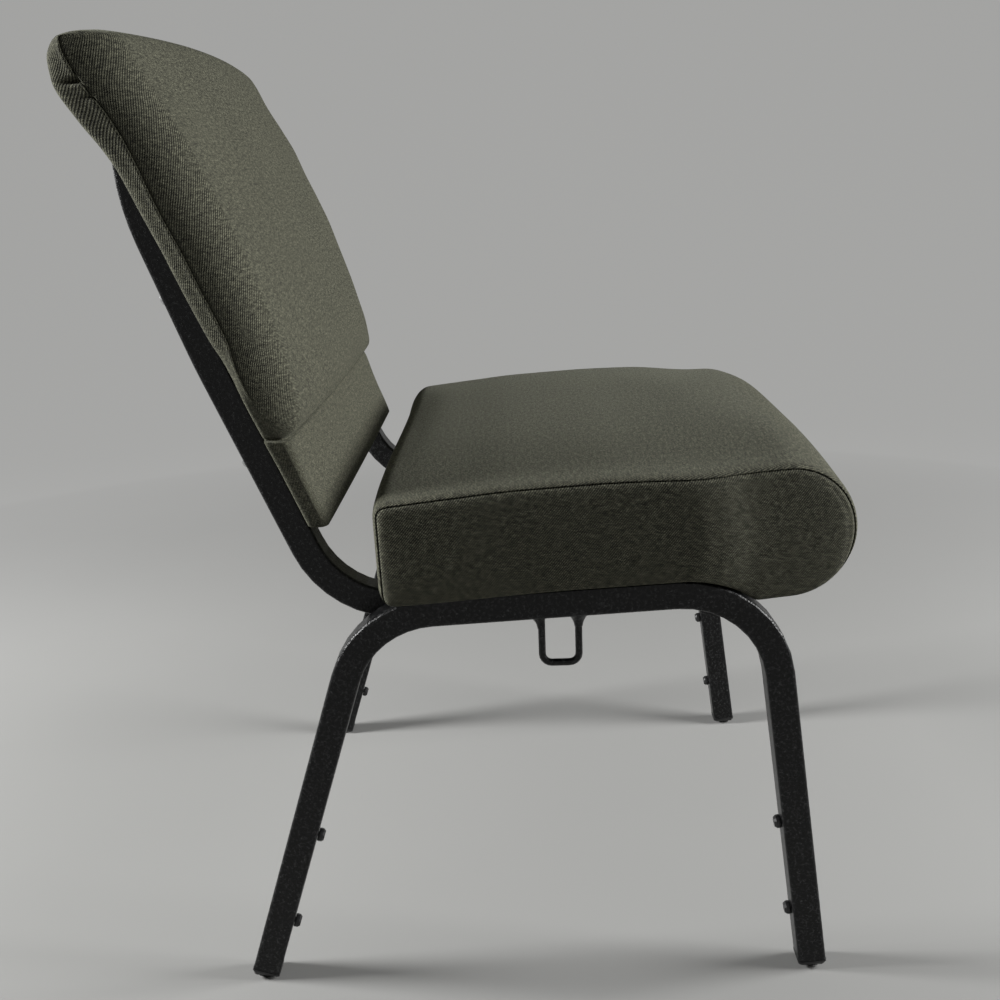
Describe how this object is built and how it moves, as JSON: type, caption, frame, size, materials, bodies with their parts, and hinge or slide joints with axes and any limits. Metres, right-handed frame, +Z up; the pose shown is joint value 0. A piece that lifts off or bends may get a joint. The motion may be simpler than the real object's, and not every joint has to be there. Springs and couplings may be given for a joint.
{
  "type": "stacking conference chair",
  "caption": "Armless stacking chair with a bent square-tube frame, a thick waterfall-front upholstered seat and a sleeve-covered back, with a ganging loop under one rail.",
  "frame": {"origin": "on the floor, under the middle of the chair's bounding box", "axes": "+Z up, -Y the way the sitter faces, -X the sitter's right-hand side, where the ganging loop is"},
  "size_m": [0.53, 0.6296, 0.8378],
  "materials": {
    "frame_paint": "black hammertone powder coat, semi-gloss",
    "fabric": "moss grey-green twill weave",
    "foam": "pale open-cell foam",
    "plywood": "bare plywood",
    "dust_cloth": "black non-woven cloth",
    "black_plastic": "smooth black plastic",
    "screw_steel": "zinc-plated screw"
  },
  "bodies": {
    "root": {"leg_frame_right": "frame_paint", "leg_frame_left": "frame_paint", "back_upright_right": "frame_paint", "back_upright_left": "frame_paint", "front_cross_tube": "frame_paint", "rear_cross_tube": "frame_paint", "ganging_loop": "frame_paint", "seat_cover": "fabric", "seat_foam": "foam", "seat_board": "plywood", "seat_dust_cover": "dust_cloth", "back_cover": "fabric", "back_foam": "foam", "back_board": "plywood", "foot_glide_front_right": "black_plastic", "foot_glide_front_left": "black_plastic", "foot_glide_rear_right": "black_plastic", "foot_glide_rear_left": "black_plastic", "stack_bumper_front_low_right": "black_plastic", "stack_bumper_front_high_right": "black_plastic", "stack_bumper_rear_low_right": "black_plastic", "stack_bumper_rear_high_right": "black_plastic", "stack_bumper_front_low_left": "black_plastic", "stack_bumper_front_high_left": "black_plastic", "stack_bumper_rear_low_left": "black_plastic", "stack_bumper_rear_high_left": "black_plastic", "seat_screw_front_right": "screw_steel", "seat_screw_front_left": "screw_steel", "seat_screw_rear_right": "screw_steel", "seat_screw_rear_left": "screw_steel", "back_screw_low_right": "screw_steel", "back_screw_low_left": "screw_steel", "back_screw_high_right": "screw_steel", "back_screw_high_left": "screw_steel"}
  },
  "joints": []
}
